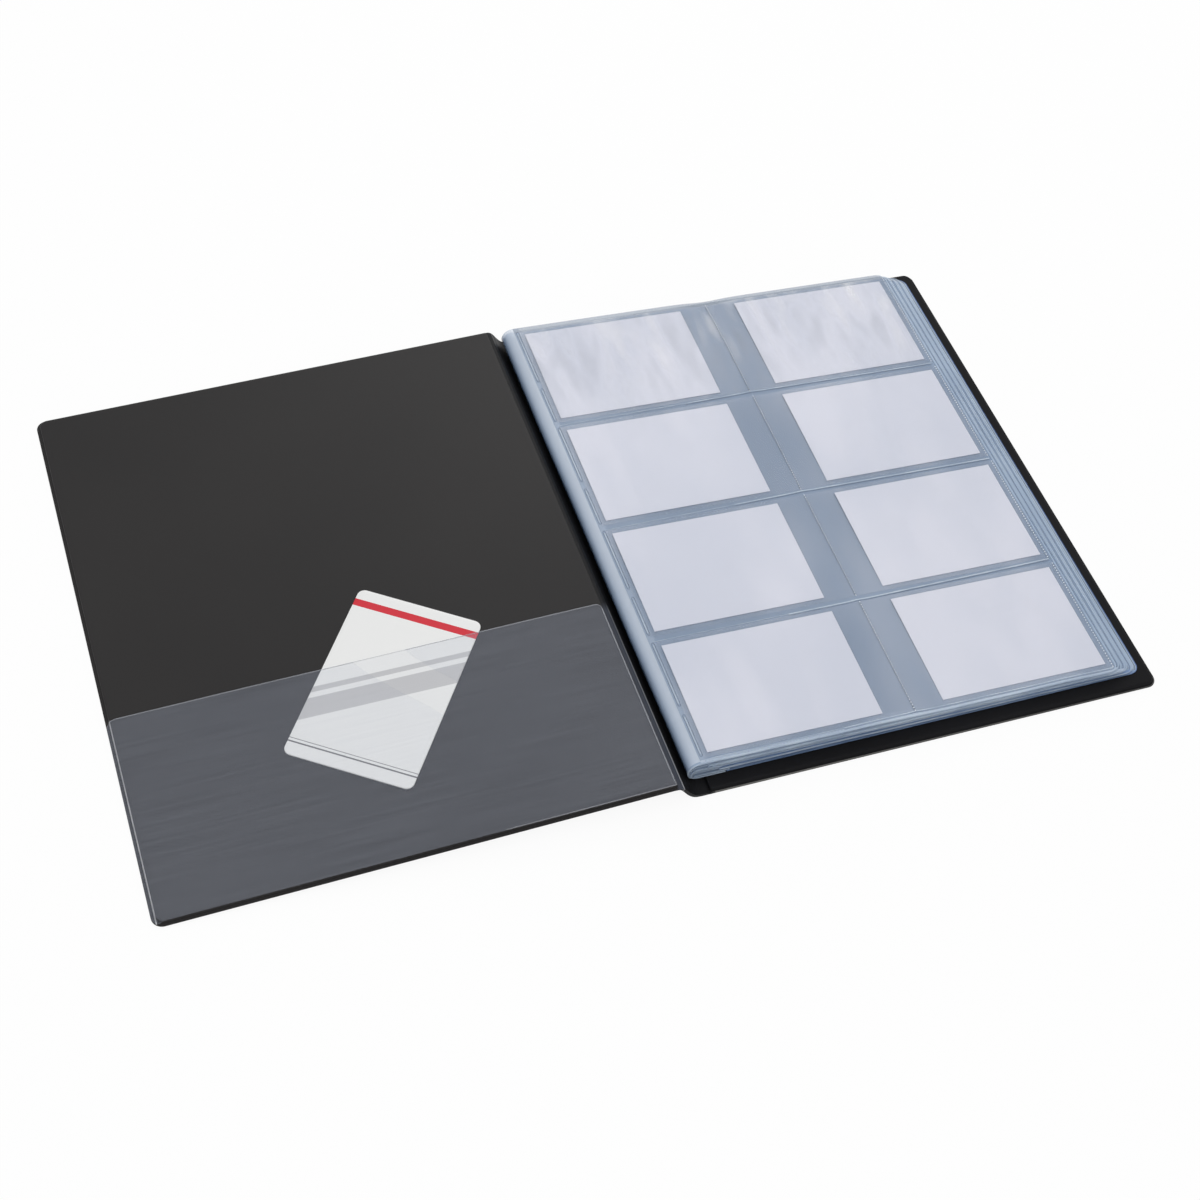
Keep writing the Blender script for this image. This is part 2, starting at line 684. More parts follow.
# spine: a strip that lies on the table and rises to the front cover, in two halves
spineSettings = dict(
    # distance from the back hinge and height of the strip's middle, with its thickness, in mm
    line=((2.3, 0.60, 0.46), (1.8, 0.54, 0.5), (1.1, 0.50, 0.6), (0.4, 0.54, 0.7), (-0.3, 0.74, 1.0),
          (-1.3, 0.88, 1.3), (-3.0, 0.90, 1.4), (-4.8, 1.00, 1.4), (-6.4, 1.50, 1.4), (-7.8, 2.55, 1.4),
          (-9.0, 3.90, 1.4), (-10.1, 5.40, 1.4), (-11.1, 6.90, 1.4), (-12.0, 8.15, 1.3), (-12.9, 9.10, 1.1),
          (-13.8, 9.60, 0.8), (-14.7, 9.68, 0.6), (-15.4, 9.63, 0.5), (-16.1, 9.58, 0.44)),
    finer=4,
    split=9,
    backBend=(1.6, -1.6),
    frontBend=(-12.4, -15.6),
    ridge=(-12.2, -12.7),
    strip=(-12.7, -16.1),
    rows=21,
)


def makeSpine(s):
    fine = refined(s["line"], s["finer"] * (len(s["line"]) - 1) + 1)
    for _ in range(3):  # takes the corners off
        fine[1:-1] = 0.25 * fine[:-2] + 0.5 * fine[1:-1] + 0.25 * fine[2:]
    cut = s["finer"] * s["split"]
    up = np.linspace(bottomEdge, bottomEdge + coverTall, s["rows"])
    halves = (("spineBackHalf", fine[:cut + 1], "back_cover", "spine", s["backBend"],
               ("back_hinge_seam", "spine_outer_skin", "spine_board")),
              ("spineFrontHalf", fine[cut:], "spine", "front_cover", s["frontBend"],
               ("front_hinge_seam", "spine_lining")))
    for name, part, first, second, bend, replaced in halves:
        x = backHinge[0] + part[:, 0] * mm
        grid = np.stack(np.broadcast_arrays(x[:, None], up[None, :], part[:, 1, None] * mm), -1)
        points, faces, cells = sheetShell(grid, part[:, 2, None] * mm)
        middles = (part[1:, 0] + part[:-1, 0]) / 2
        zones = [1 if s["ridge"][1] < m < s["ridge"][0] else 2 if s["strip"][1] < m < s["strip"][0] else 0
                 for m in middles]
        # every second face is on the inner side
        piece = makePiece(name, points, faces, [spineVinyl, ridgeVinyl, stripVinyl],
                          [zones[i] * (n % 2) for n, (i, _) in enumerate(cells)], angle=50)
        ends = [(backHinge[0] + u * mm, 0, 0) for u in bend]
        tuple(ends[0])
        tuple(ends[1])
        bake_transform(piece)
        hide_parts(*replaced)


makeSpine(spineSettings)
print("spine made")


# pocket across the front cover
pocketSettings = dict(
    near=0.80 * mm,
    foreGap=0.10 * mm,
    low=1.25 * mm,
    tall=94.0 * mm,
    thick=0.12 * mm,
    room=0.90 * mm,
    fall=2.6 * mm,
    corner=2.4 * mm,
    lowCorner=4.5 * mm,
    lowCornerGap=0.12 * mm,
    edge=0.36 * mm,
    shoulder=1.5 * mm,
    wave=0.10 * mm,
    waveRuns=(17 * mm, 23 * mm),
    # the film follows the rim and the shoulder of the panel: inset and height in mm
    rim=((0.0, 0.93), (0.72, 0.94), (0.84, 1.0), (0.94, 1.18), (1.01, 1.5), (1.08, 1.92), (1.2, 2.26),
         (1.4, 2.46), (1.7, 2.53), (2.5, 2.54)),
    line=(0.90, 1.42),  # bright part of the shoulder
    lowLine=70 * mm,  # length of the pale line along the bottom
    # pressed line beside the hinge: its ends, place, height, and width with thickness
    weldEnds=(3.0 * mm, 2.6 * mm),
    weldIn=0.45 * mm,
    weldHigh=2.66 * mm,
    weldSize=(0.30 * mm, 0.2 * mm),
)


def makePocket(s):
    rimAt, rimHigh = np.array(s["rim"]).T * mm
    far = coverWide - s["foreGap"]
    span = far - s["near"]
    # columns and rows are closer at the edges and on the shoulder
    steps = np.concatenate([foreInset(rimAt[1:]) - s["foreGap"], s["edge"] * np.array([10, 14])])
    columns = s["near"] + merged(
        np.linspace(0, span, 60), s["edge"] * np.array([1, 2, 5]), s["corner"] * np.linspace(0, 1, 7),
        span - steps, span - s["lowCorner"] * np.linspace(0, 1, 9))
    rows = merged(np.linspace(0, 1, 40), np.array([0.3, 0.7, 1.5, 2.5, 4]) / 92,
                  1 - np.linspace(0, 2.4, 7) / 92)

    # the inset that a distance from the fore edge stands for
    def evenInset(distance):
        table = np.linspace(0, 8 * mm, 400)
        return np.interp(distance, foreInset(table), table)

    top = s["tall"] - cornerCut(s["corner"], np.minimum(columns - s["near"], far - columns))
    bottom = np.maximum(s["low"], cornerCut(s["lowCorner"], coverWide - columns) + s["lowCornerGap"])
    u = np.repeat(columns[:, None], len(rows), 1)
    v = bottom[:, None] + rows[None, :] * (top - bottom)[:, None]
    out, down = evenInset(coverWide - u), v  # insets from fore and lower edge
    bend = s["lowCorner"] - np.hypot(s["lowCorner"] - out, s["lowCorner"] - down)
    inset = np.where(np.maximum(out, down) < s["lowCorner"], bend, np.minimum(out, down))
    wave = s["wave"] * np.sin(u / s["waveRuns"][0] + 1.2 * np.sin(v / s["waveRuns"][1]))
    inside = np.minimum(u - s["near"], inset - s["shoulder"])
    rise = (s["room"] - s["wave"] + wave) * smooth(inside / s["fall"])
    height = np.interp(inset, rimAt, rimHigh) + rise
    points, faces, cells = sheetShell(onFront(u, bottomEdge + v, height), s["thick"])
    middles = evenInset(coverWide - (columns[1:] + columns[:-1]) / 2)

    # hinge side and upper edge are paler, and the shoulder at the fore edge shines
    def slot(i, j):
        if s["line"][0] * mm < middles[i] < s["line"][1] * mm:
            return 2
        low = j == 0 and columns[i] < s["lowLine"]
        return 1 if i == 0 or low or j == len(rows) - 2 else 0

    film = makePiece("coverPocketFilm", points, faces, [frostedFilm, frostedEdge, frostedLine],
                     [slot(i, j) for i, j in cells])
    ride(film, "front_cover", "frosted_film", "front_pocket_film")

    up = np.linspace(bottomEdge + s["weldEnds"][0], bottomEdge + s["tall"] - s["weldEnds"][1], 50)
    points, faces, _ = barShell(onFront(s["near"] + s["weldIn"], up, s["weldHigh"]), *s["weldSize"])
    welds = makePiece("coverPocketWelds", points, faces, [frostedEdge])
    ride(welds, "front_cover", "frosted_film", "front_pocket_weld")


makePocket(pocketSettings)
print("cover pocket made")


# loose card, half in the pocket
cardSettings = dict(
    size=(85.6 * mm, 53.98 * mm),
    thick=0.74 * mm,
    radius=3.18 * mm,
    turn=54.3,  # degrees
    fromHinge=98.2 * mm,
    up=79.0 * mm,
    rise=2.46 * mm,
    edge=0.12 * mm,
    white=(0.845, 0.85, 0.845),
    bar=(0.62, 0.018, 0.035),
    rule=(0.16, 0.16, 0.17),
    pale=(0.56, 0.56, 0.57),
    # places along the card from its middle, in mm
    barAt=(34.0, 37.5),
    rulesAt=((-37.0, -36.3), (-35.2, -34.9)),
    bandsAt=((-8.0, 3.0), (6.0, 9.0)),
    slant=0.7,
)


def makeCard(s):
    angle = math.radians(-s["turn"])
    wide, tall = s["size"]

    def ring(inset, height):
        line = roundedOutline(-wide / 2 + inset, wide / 2 - inset, -tall / 2 + inset, tall / 2 - inset,
                              [s["radius"] - inset] * 4, 10)
        u = s["fromHinge"] + line[:, 0] * math.cos(angle) - line[:, 1] * math.sin(angle)
        v = bottomEdge + s["up"] + line[:, 0] * math.sin(angle) + line[:, 1] * math.cos(angle)
        return onFront(u, v, s["rise"] + height)

    edge = s["edge"]
    points, faces = ringShell([ring(2 * mm, 0), ring(edge, 0), ring(edge * 0.3, edge * 0.3), ring(0, edge),
                               ring(0, s["thick"] - edge), ring(edge * 0.3, s["thick"] - edge * 0.3),
                               ring(edge, s["thick"]), ring(2 * mm, s["thick"])])
    card = makePiece("looseCard", points, faces, [makeCardFace(s, onFront(
        np.array([s["fromHinge"]]), bottomEdge + s["up"], s["rise"] + s["thick"])[0])])
    ride(card, "loose_card", "card", "loose_card")


# plain print: a coloured bar at one end, a rule at the other and pale slanting bands
def makeCardFace(s, centre):
    f = Finish("cardFace")
    spot = f.node("ShaderNodeVectorMath", dict(operation="SUBTRACT"), {0: f.place(), 1: tuple(centre)})
    turned = f.node("ShaderNodeVectorRotate", dict(rotation_type="Z_AXIS"),
                    {"Vector": spot, "Angle": math.radians(-s["turn"])})
    x = f.node("ShaderNodeSeparateXYZ", None, {0: turned}, output=0)
    y = f.node("ShaderNodeSeparateXYZ", None, {0: turned}, output=1)

    def between(value, low, high):
        return (value > low * mm) * (value < high * mm)

    slant = x + y * s["slant"]
    end = between(x, *s["barAt"])
    rules = between(x, *s["rulesAt"][0]) + between(x, *s["rulesAt"][1])
    bands = between(slant, *s["bandsAt"][0]) + between(slant, *s["bandsAt"][1])
    soft = f.noise(40, 2.0)
    white = f.mix(soft, rgba(*[c * 0.985 for c in s["white"]]), rgba(*s["white"]))
    printed = f.mix(bands, white, rgba(*s["pale"]))
    printed = f.mix(rules, printed, rgba(*s["rule"]))
    printed = f.mix(end, printed, rgba(*s["bar"]))
    return f.shader({
        "Base Color": printed,
        "Roughness": soft * 0.1 + 0.32,
        "Specular IOR Level": 0.35,
        "Normal": f.bump(f.noise(500, 2.0), 0.05, 0.05 * mm),
    })


makeCard(cardSettings)
print("card made")


# leaves: places on a leaf run from where its flat part starts
leafSettings = dict(
    count=8,
    low=bottomEdge + 7.2 * mm,
    tall=249.0 * mm,
    rootFromHinge=-1.3 * mm,
    topReach=188.8 * mm,
    lowReach=201.5 * mm,
    rootHeights=(13.2 * mm, 2.9 * mm),
    foreHeights=(8.2 * mm, 2.6 * mm),
    reachMore=(1.2 * mm, 0.9 * mm),
    jog=(0, 0.35, -0.3, 0.3, -0.25, 0.3, -0.15, 0),  # of each fore edge, in mm
    corner=4.5 * mm,
    thick=0.12 * mm,
    edge=0.45 * mm,
    hemThick=(0.70 * mm, 0.42 * mm),  # of the near edge, at the fold and at the fore edge
    hem=1.6 * mm,
    farHem=3.0 * mm,
    foreBand=3.1 * mm,
    rootRun=1.6 * mm,
    rootDrop=0.10 * mm,
    dip=0.9 * mm,
    dipAt=95 * mm,
    dipWide=9.5 * mm,
    dipTall=34 * mm,
    fadeRuns=(30 * mm, 20 * mm),
    ripple=0.04 * mm,
    rippleRuns=(21 * mm, 48 * mm, 31 * mm),  # along the leaf, slanting and up the leaf
    margin=4.0 * mm,
    marginWave=0.30 * mm,
    marginRuns=(13 * mm, 7 * mm),
    stagger=0.5 * mm,  # of the leaves' ends
)
rowSettings = dict(
    rows=4,
    insert=(78.0 * mm, 54.0 * mm, 0.18 * mm),
    top=bottomEdge + 251.2 * mm,
    pitch=61.9 * mm,
    firstColumn=2.7 * mm,  # from the start of the flat part
    columnPitch=106.0 * mm,
    below=2.3 * mm,
    lip=2.0 * mm,
    shingle=math.tan(math.radians(0.55)),
    stripStart=0.3 * mm,
    stripWide=189.9 * mm,
    filmThick=0.08 * mm,
    insertLift=0.19 * mm,  # above the leaf, at the bottom of a strip
    stripLift=0.20 * mm,
    stripRoom=0.24 * mm,  # more over an insert
    softEdge=1.3 * mm,
    softBase=1.2 * mm,
    wrinkles=(0.045 * mm, 0.04 * mm, 0.035 * mm, 0.03 * mm),  # of each row
    wrinkleRun=6 * mm,  # over which they start
)


def share(k):
    return (k - 1) / (leafSettings["count"] - 1)


def mixed(pair, k):
    return pair[0] + (pair[1] - pair[0]) * share(k)


def leafEnds(k):
    s = leafSettings
    shift = (s["lowReach"] - s["topReach"]) * share(k)
    root = np.array((backHinge[0] + s["rootFromHinge"] + shift, mixed(s["rootHeights"], k)))
    fore = np.array((backHinge[0] + s["topReach"] + shift, mixed(s["foreHeights"], k)))
    return root, fore


def leafLength(k):
    root, fore = leafEnds(k)
    return float(np.linalg.norm(fore - root))


# how a leaf gives way: the top one dips between the columns and ripples, and all wave at the near edge
def leafGive(k, along, y):
    s = leafSettings
    loose = 1 if k == 1 else 0
    upper = smooth((y - (s["low"] + s["tall"] - s["dipTall"])) / s["dipTall"])
    middle = np.exp(-((along - s["dipAt"]) / s["dipWide"]) ** 2)
    fade = smooth(along / s["fadeRuns"][0]) * smooth((leafLength(k) - along) / s["fadeRuns"][1])
    level, slanting, upright = s["rippleRuns"]
    waves = np.sin(along / level + 0.9 * k + y / slanting) * np.sin(y / upright + 0.5 * k)
    hem = smooth(1 - (y - s["low"]) / s["margin"]) * fade
    slow, quick = s["marginRuns"]
    hemWave = np.sin(along / slow + 1.7 * k) + 0.6 * np.sin(along / quick + 2.3 * k)
    return (-s["dip"] * loose * upper * middle + s["ripple"] * loose * fade * waves
            + s["marginWave"] * (1 - 0.9 * share(k)) * hem * hemWave)


def onLeaf(k, along, y, lift=0.0):
    root, fore = leafEnds(k)
    step = (fore - root) / np.linalg.norm(fore - root)
    along = np.asarray(along, float)
    lift = lift + leafGive(k, along, y)
    x = root[0] + along * step[0] - lift * step[1]
    z = root[1] + along * step[1] + lift * step[0]
    return np.stack(np.broadcast_arrays(x, y, z), -1)


def spaced(length, count, *near):
    ends = np.array(near)
    return merged(np.linspace(0, length, count), ends, length - ends)


def makeLeafFilm(k):
    s = leafSettings
    edge = s["edge"]
    length = leafLength(k) + s["rootRun"] + mixed(s["reachMore"], k) + s["jog"][k - 1] * mm
    columns = spaced(length, 46, edge, 2 * edge, 3 * edge, 1.5 * mm, 3 * mm)
    rows = spaced(s["tall"], 60, edge, *np.linspace(0, s["corner"], 8)[1:],
                  0.8 * mm, 1.2 * mm, s["hem"], 3 * mm)
    t, y = np.meshgrid(columns / length, rows, indexing="ij")
    near = np.minimum(y, s["tall"] - y)
    run = t * (length - cornerCut(s["corner"], near)) - s["rootRun"]
    bend = -s["rootDrop"] * np.maximum(-run / s["rootRun"], 0) ** 2
    offset = s["stagger"] * math.sin(2.4 * k)
    grid = onLeaf(k, run, s["low"] + y + offset * np.sign(y - s["tall"] / 2) * 0.8, bend)
    hemThick = (s["hemThick"][0] + (s["hemThick"][1] - s["hemThick"][0]) * t) * (1 - 0.6 * share(k))
    points, faces, cells = sheetShell(grid, s["thick"] + hemThick * smooth(1 - y / s["hem"]))
    last = len(columns) - 2

    # fore edge: a bright rim with a thin dark line inside it; near edge: a pale hem
    def slot(i, j):
        if i == last or (j == 0 and k < s["count"]):
            return 1
        if rows[j] < s["hem"] - 0.01 * mm:
            return 5
        if rows[j + 1] > s["tall"] - s["farHem"] + 0.01 * mm:
            return 4
        return {last - 1: 2, last - 2: 3}.get(i, 2 if columns[i] > length - s["foreBand"] else 0)

    # the lowest leaves look bluer against the black cover
    low = k == s["count"]
    finishes = [clearFilm if k == 1 else baseFilm, blueShade if low else filmEdge,
                filmEdge if low else filmMargin, edgeShade, farHem,
                blueMargin if k > s["count"] - 3 else nearHem]
    film = makePiece(f"leaf{k}Film", points, faces, finishes, [slot(i, j) for i, j in cells])
    ride(film, f"leaf_{k}", "clear_film", f"leaf_{k}_film")


for k in range(1, leafSettings["count"] + 1):
    makeLeafFilm(k)
    if k > 1:
        for kind, finish in (("pockets", deepFilm), ("welds", weldRib), ("inserts", whitePaper)):
            materials = nodes[f"leaf_{k}_{kind}"].data.materials
            materials.clear()
            materials.append(finish)
print("leaf films made")


def rowBase(row):
    r = rowSettings
    return r["top"] - r["insert"][1] - row * r["pitch"] - r["below"]


# inside 1, outside 0, with a soft edge
def softBox(value, low, high, edge):
    return smooth((value - low) / edge + 1) * smooth((high - value) / edge + 1)


def makeTopPockets():
    r = rowSettings
    wide, tall, _ = r["insert"]
    shells = []
    stripTall = r["below"] + tall + r["lip"]
    starts = [r["firstColumn"] + c * r["columnPitch"] for c in range(2)]
    marks = [end + gap for start in starts for end, side in ((start, -1), (start + wide, 1))
             for gap in (0, side * 0.6 * mm, side * 1.2 * mm)]
    columns = merged(r["stripStart"] + np.linspace(0, r["stripWide"], 70), np.array(marks))
    rows = spaced(stripTall, 30, 0.4 * mm, 0.9 * mm, 1.4 * mm, 2.0 * mm)
    for row in range(r["rows"]):
        along, up = np.meshgrid(columns, rows, indexing="ij")
        over = sum(softBox(along, start, start + wide, r["softEdge"]) for start in starts)
        over = over * smooth((up - r["below"]) / r["softBase"] + 1)  # stays open at the top
        wave = (np.sin(along / (6.5 * mm) + up / (15 * mm) + row) * np.sin(up / (9 * mm) - along / (31 * mm))
                + 0.7 * np.sin(along / (11 * mm) - up / (7 * mm) + 2 * row))
        free = smooth((up - r["below"]) / r["wrinkleRun"])
        wrinkle = r["wrinkles"][row] * free * (wave + 1.7)
        grid = onLeaf(1, along, rowBase(row) + up,
                      r["stripLift"] + up * r["shingle"] + r["stripRoom"] * over + wrinkle)
        points, faces, _ = sheetShell(grid, r["filmThick"])
        shells.append((points, faces, [0] * len(faces)))
    points, faces, _ = joinShells(shells)
    strips = makePiece("topPocketStrips", points, faces, [pocketFilm])
    ride(strips, "leaf_1", "clear_film", "leaf_1_pockets")


def makeTopInserts():
    r = rowSettings
    wide, tall, thick = r["insert"]
    for row, rowName in enumerate(("first", "second", "third", "fourth")):
        for column, columnName in enumerate(("left", "right")):
            x = np.linspace(0, wide, 14)
            y = np.linspace(0, tall, 10)
            along, up = np.meshgrid(x, y, indexing="ij")
            rise = (r["below"] + up) * r["shingle"] + r["insertLift"]
            grid = onLeaf(1, r["firstColumn"] + column * r["columnPitch"] + along,
                          rowBase(row) + r["below"] + up, rise)
            points, faces, _ = sheetShell(grid, thick)
            name = f"{rowName}_row_{columnName}_insert"
            piece = makePiece(f"{rowName}{columnName.capitalize()}Insert", points, faces, [whitePaper])
            ride(piece, name, "paper", name)


makeTopPockets()
makeTopInserts()
print("top pockets and inserts made")


# pressed dots and ribs along weld lines
def makeStitchTree():
    tree = bpy.data.node_groups.new("weldStitches", "GeometryNodeTree")
    sockets = tree.interface
    sockets.new_socket("Lines", in_out="INPUT", socket_type="NodeSocketGeometry")
    for name in ("Spacing", "Length", "Width", "Height"):
        sockets.new_socket(name, in_out="INPUT", socket_type="NodeSocketFloat")
    sockets.new_socket("Finish", in_out="INPUT", socket_type="NodeSocketMaterial")
    sockets.new_socket("Stitches", in_out="OUTPUT", socket_type="NodeSocketGeometry")

    def add(kind, settings=None, inputs=None):
        return addNode(tree, kind, settings, inputs).outputs

    given = add("NodeGroupInput")
    curve = add("GeometryNodeMeshToCurve", None, {0: given["Lines"]})[0]
    dots = add("GeometryNodeResampleCurve", dict(mode="LENGTH"),
               {"Curve": curve, "Length": given["Spacing"]})[0]
    ball = add("GeometryNodeMeshUVSphere", None, {"Segments": 8, "Rings": 4, "Radius": 0.5})[0]
    tangent = add("GeometryNodeInputTangent")[0]
    facing = add("FunctionNodeAlignRotationToVector", dict(axis="X"), {"Vector": tangent})[0]
    size = add("ShaderNodeCombineXYZ", None,
               {0: given["Length"], 1: given["Width"], 2: given["Height"]})[0]
    laid = add("GeometryNodeInstanceOnPoints", None,
               {"Points": dots, "Instance": ball, "Rotation": facing, "Scale": size})[0]
    real = add("GeometryNodeRealizeInstances", None, {0: laid})[0]
    done = add("GeometryNodeSetMaterial", None, {"Geometry": real, "Material": given["Finish"]})[0]
    add("NodeGroupOutput", None, {0: done})
    return tree


stitchTree = makeStitchTree()


def stitchMesh(name, lines, values):
    points, edges = [], []
    for line in lines:
        start = len(points)
        points += [tuple(p) for p in line]
        edges += [(start + i, start + i + 1) for i in range(len(line) - 1)]
    mesh = bpy.data.meshes.new(name + "Lines")
    mesh.from_pydata(points, edges, [])
    holder = bpy.data.objects.new(name + "Lines", mesh)
    scene.collection.objects.link(holder)
    modifier = holder.modifiers.new("stitches", "NODES")
    modifier.node_group = stitchTree
    for item in stitchTree.interface.items_tree:
        if item.in_out == "INPUT" and item.name in values:
            modifier[item.identifier] = values[item.name]
    graph = bpy.context.evaluated_depsgraph_get()
    plain = bpy.data.meshes.new_from_object(holder.evaluated_get(graph))
    holder.modifiers.clear()
    bpy.data.objects.remove(holder)
    plain.shade_smooth()
    piece = bpy.data.objects.new(name, plain)
    scene.collection.objects.link(piece)
    return piece


weldSettings = dict(
    # how far the line lies below each row of inserts, in mm:
    # at the fold, between the columns and at the fore edge
    lineDown=((4.2, 2.7, 3.3), (5.1, 3.3, 4.0), (5.0, 4.6, 3.2), (3.0, 2.6, 2.6)),
    lineSplit=62 * mm,
    kink=(0.25 * mm, 3 * mm),  # at the crossing: height and reach
    ribsDown=(0.7 * mm, 1.5 * mm),
    # width and height of each bar
    leftLine=(0.22 * mm, 0.14 * mm),
    rightWide=(0.46 * mm, 0.58 * mm, 0.62 * mm, 0.46 * mm),  # in each row
    rightTall=0.16 * mm,
    underLine=(0.20 * mm, 0.10 * mm),
    outline=(0.20 * mm, 0.22 * mm),
    core=(0.50 * mm, 0.12 * mm),
    centreLine=(0.62 * mm, 0.14 * mm),
    # heights above the leaf
    lineLift=0.26 * mm,
    underLift=0.24 * mm,
    outlineLift=0.10 * mm,
    coreLift=0.08 * mm,
    uprightLift=0.27 * mm,
    dotLifts=(0.14 * mm, 0.06 * mm),  # more than the upright welds
    # ends of the upright welds, past the insert's
    foldEnds=(-1.2 * mm, 2.6 * mm),
    uprightEnds=(-2.0 * mm, 1.6 * mm),
    foldLine=-0.2 * mm,
    foldWidth=1.2 * mm,
    ventFromBase=19.5 * mm,
    vent=4.4 * mm,
    centre=94.7 * mm,
    foreLine=189.3 * mm,
    ribs=dict(Spacing=1.4 * mm, Length=0.66 * mm, Width=0.40 * mm, Height=0.12 * mm),
    dots=dict(Spacing=1.4 * mm, Length=0.72 * mm, Width=0.52 * mm, Height=0.14 * mm),
)


def makeTopWelds():
    w, r = weldSettings, rowSettings
    tall = r["insert"][1]
    half = w["foldWidth"] / 2
    bright, dark, ribs, dots = [], [], [], []
    for row in range(r["rows"]):
        base = rowBase(row) + r["below"]
        marks = np.array((0, w["centre"], w["foreLine"]))

        def line(along):
            down = np.interp(along, marks, np.array(w["lineDown"][row]) * mm)
            rise, reach = w["kink"]
            return base - down + rise * np.exp(-((along - w["centre"]) / reach) ** 2)

        # fine and dotted towards the fold, broad with a dark line below it towards the fore edge
        along = np.linspace(0.6 * mm, w["lineSplit"], 40)
        bright.append(barShell(onLeaf(1, along, line(along), w["lineLift"]), *w["leftLine"]))
        for down in w["ribsDown"]:
            ribs.append(onLeaf(1, along, line(along) - down, w["lineLift"]))
        along = np.linspace(w["lineSplit"], w["foreLine"], 60)
        right = onLeaf(1, along, line(along), w["lineLift"])
        bright.append(barShell(right, w["rightWide"][row], w["rightTall"]))
        under = onLeaf(1, along, line(along) - w["ribsDown"][0], w["underLift"])
        dark.append(barShell(under, *w["underLine"]))
        # upright welds: one at the fold with a vent, one between the columns, one at the fore edge
        parts = ((w["foldEnds"][0], w["ventFromBase"]),
                 (w["ventFromBase"] + w["vent"], tall + w["foldEnds"][1]))
        for low, high in parts:
            arc = np.linspace(0, math.pi, 9)
            loop = [(w["foldLine"] + half * math.cos(a), high - half + half * math.sin(a)) for a in arc]
            loop += [(w["foldLine"] - half, high - half - t * (high - low - 2 * half))
                     for t in np.linspace(0.02, 0.98, 24)]
            loop += [(w["foldLine"] - half * math.cos(a), low + half - half * math.sin(a)) for a in arc]
            loop += [(w["foldLine"] + half, low + half + t * (high - low - 2 * half))
                     for t in np.linspace(0.02, 0.98, 24)]
            loop = np.array(loop)
            rim = onLeaf(1, loop[:, 0], base + loop[:, 1], w["outlineLift"])
            dark.append(barShell(rim, *w["outline"], closed=True))
            inner = np.linspace(low + 2 * half, high - 2 * half, 24)
            core = onLeaf(1, w["foldLine"] + 0 * inner, base + inner, w["coreLift"])
            bright.append(barShell(core, *w["core"]))
        up = np.linspace(w["uprightEnds"][0], tall + w["uprightEnds"][1], 40)
        middle = w["centre"] + 0.10 * mm * np.sin(up / (17 * mm) + row)
        lift = w["uprightLift"] + (up + r["below"]) * r["shingle"]
        dark.append(barShell(onLeaf(1, middle, base + up, lift), *w["centreLine"]))
        dots.append(onLeaf(1, middle - 0.04 * mm, base + up, lift + w["dotLifts"][0]))
        dots.append(onLeaf(1, w["foreLine"] + 0 * up, base + up, lift + w["dotLifts"][1]))
    points, faces, _ = joinShells(bright)
    ride(makePiece("topWeldLines", points, faces, [weldPress]), "leaf_1", "weld", "leaf_1_welds")
    points, faces, _ = joinShells(dark)
    ride(makePiece("topWeldGrooves", points, faces, [weldShade]), "leaf_1", "weld")
    ride(stitchMesh("topWeldRibs", ribs, dict(w["ribs"], Finish=weldRib)), "leaf_1", "weld")
    ride(stitchMesh("topWeldDots", dots, dict(w["dots"], Finish=weldDot)), "leaf_1", "weld")


makeTopWelds()
print("top welds made")


# fold: loops of film nested in a round nose, on the binding
foldSettings = dict(
    left=-7.9 * mm,
    leftStep=0.55 * mm,
    bottom=2.85 * mm,
    bottomStep=0.06 * mm,
    centreFromHinge=-2.9 * mm,
    under=0.14 * mm,  # below the leaf it meets
    overlap=1.2 * mm,
    tail=12.0 * mm,
    tailSteps=(0.08, 0.3, 0.6, 1.0),
    stagger=0.35 * mm,  # of the films' ends
    wave=0.10 * mm,
    waveRun=19 * mm,
    thick=0.20 * mm,
    hemThick=0.30 * mm,
    edge=0.3 * mm,
)


def makeFold():
    f, s = foldSettings, leafSettings
    shells = []
    for k in range(1, s["count"]):
        root, fore = leafEnds(k)
        middle = backHinge[0] + f["centreFromHinge"]
        slope = (fore[1] - root[1]) / (fore[0] - root[0])
        top = root[1] - f["under"] + slope * (middle - root[0])
        bottom = f["bottom"] + f["bottomStep"] * (s["count"] - 1 - k)
        half = (top - bottom) / 2
        reach = -f["left"] - (k - 1) * f["leftStep"] + f["centreFromHinge"]
        # straight under the leaf, round the nose, then back along the bottom
        start = root[0] + f["overlap"]
        flat = start + np.linspace(0, 0.94, 6) * (middle - start)
        angle = np.radians(np.linspace(90, 270, 41))
        back = middle + np.array(f["tailSteps"]) * f["tail"]
        x = np.concatenate([flat, middle + reach * np.cos(angle), back])
        z = np.concatenate([top + slope * (flat - middle), bottom + half + half * np.sin(angle),
                            bottom + 0 * back])
        out = f["stagger"] * math.sin(1.9 * k)
        rows = spaced(s["tall"], 26, f["edge"], 2 * f["edge"], 4 * f["edge"])
        thick = f["thick"] + f["hemThick"] * smooth(1 - rows / (4 * f["edge"]))
        rows = s["low"] + rows + out * np.sign(rows - s["tall"] / 2)
        grid = np.stack(np.broadcast_arrays(x[:, None], rows[None, :], z[:, None]), -1).copy()
        wave = f["wave"] * np.sin(rows / f["waveRun"] + k)
        grid[..., 0] += wave[None, :] * smooth((middle - x[:, None]) / reach)
        points, faces, cells = sheetShell(grid, thick[None, :])
        shells.append((points, faces, [1 if j == 0 else 2 if j < 3 else 0 for _, j in cells]))
    points, faces, slots = joinShells(shells)
    nose = makePiece("foldNose", points, faces, [foldFilm, filmEdge, filmMargin], slots)
    ride(nose, "page_binding", "clear_film", "fold_bead", "binding_tab")


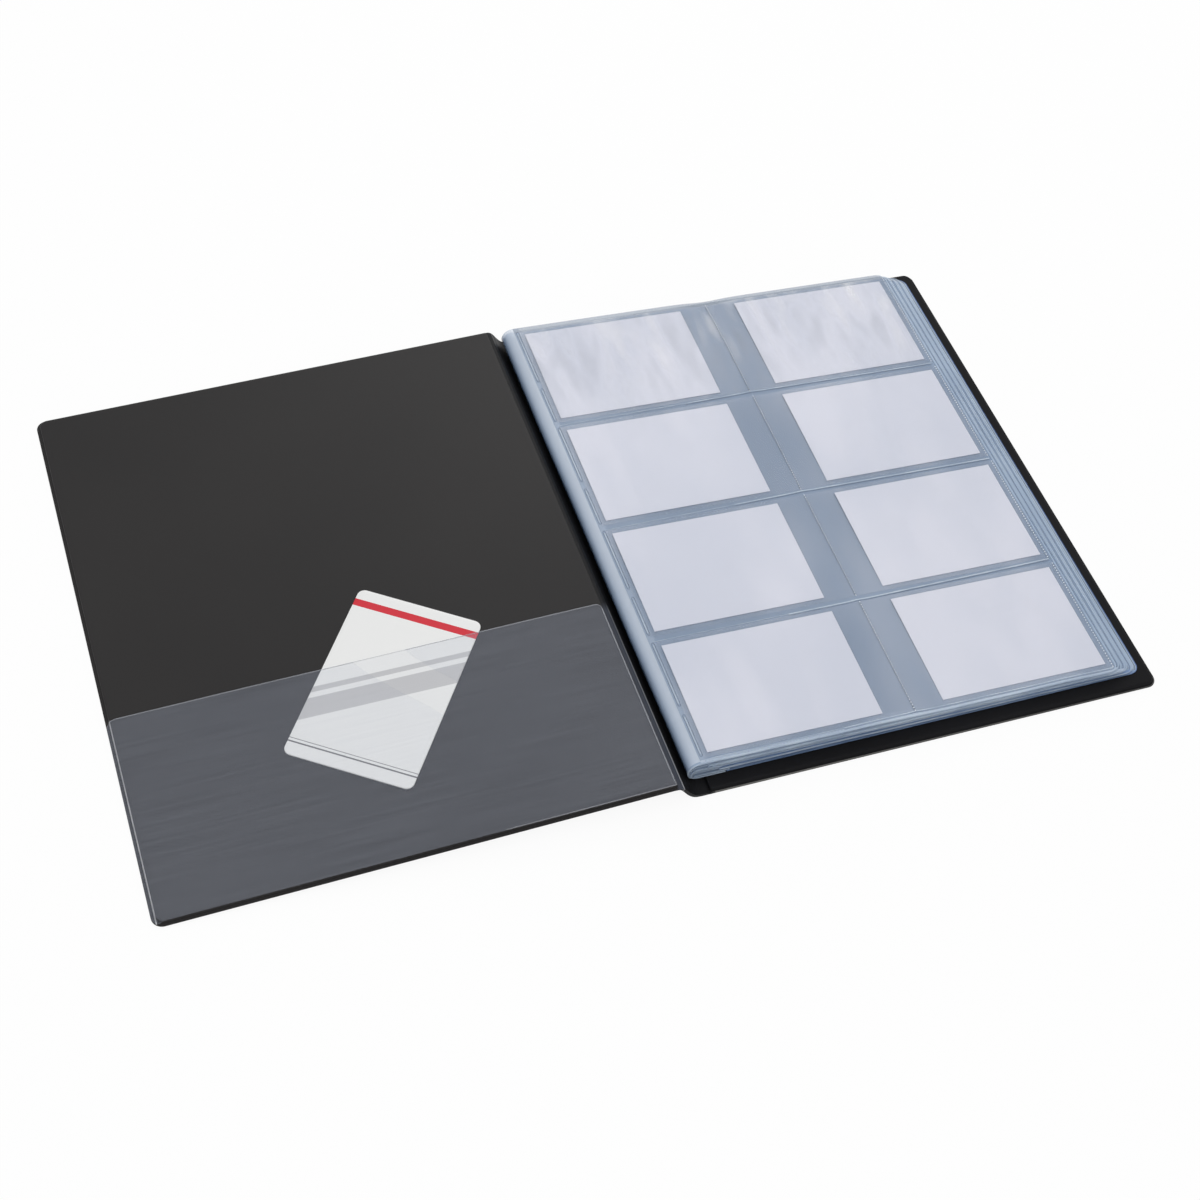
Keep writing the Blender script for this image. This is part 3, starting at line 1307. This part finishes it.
# short bends of film that join each leaf to the next one down, so that a turned leaf stays joined
bendSettings = dict(
    thick=0.10 * mm,
    short=1.5 * mm,  # shorter than the leaf at either end
    back=1.3 * mm,  # how far it goes left of the upper leaf
    steps=57,
    # places on the line, in mm: from the lower root, then from the leftmost place up from the lower root
    # and down from the upper root
    atLower=((0.4, 0.10), (-0.6, 0.14)),
    overLower=((0.5, 0.22), (0.1, 0.40)),
    underUpper=((0.1, 0.36), (0.5, 0.20)),
    endDrop=0.13 * mm,
    # strip at the lowest leaf: its start and the two ends of its bend, left of the leaf, and its drop there
    lastRun=(5.4 * mm, 1.3 * mm, 0.1 * mm),
    lastDrop=(0.28 * mm, 0.13 * mm),
)


# the upper body comes first, so that at a half turn the film arches over the fold
def makeBend(name, line):
    s, b = leafSettings, bendSettings
    rows = np.linspace(s["low"] + b["short"], s["low"] + s["tall"] - b["short"], 12)
    grid = np.stack(np.broadcast_arrays(line[:, 0, None], rows[None, :], line[:, 1, None]), -1)
    points, faces, _ = sheetShell(grid, b["thick"])
    bend = makePiece(name, points, faces, [foldFilm])
    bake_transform(bend)


def makeLeafBends():
    b, last = bendSettings, leafSettings["count"]
    for k in range(1, last):
        upper, lower = leafEnds(k)[0], leafEnds(k + 1)[0]
        left = upper[0] - b["back"]
        marks = [(lower[0] + x * mm, lower[1] + z * mm) for x, z in b["atLower"]]
        marks += [(left + x * mm, lower[1] + z * mm) for x, z in b["overLower"]]
        marks += [(left, (lower[1] + upper[1]) / 2)]
        marks += [(left + x * mm, upper[1] - z * mm) for x, z in b["underUpper"]]
        marks += [(upper[0], upper[1] - b["endDrop"])]
        makeBend(f"leafBend{k}", refined(marks, b["steps"]))
    # the lowest leaf joins the binding by a flat strip
    root = leafEnds(last)[0]
    far, bent, near = (root[0] - run for run in b["lastRun"])
    x = np.concatenate([np.linspace(far, bent, 6), np.linspace(bent, near, b["steps"])[1:], [root[0]]])
    z = root[1] - np.interp(x, (bent, near), b["lastDrop"])
    makeBend(f"leafBend{last}", np.stack([x, z], 1))


makeFold()
makeLeafBends()
print("fold made")

print("size written")
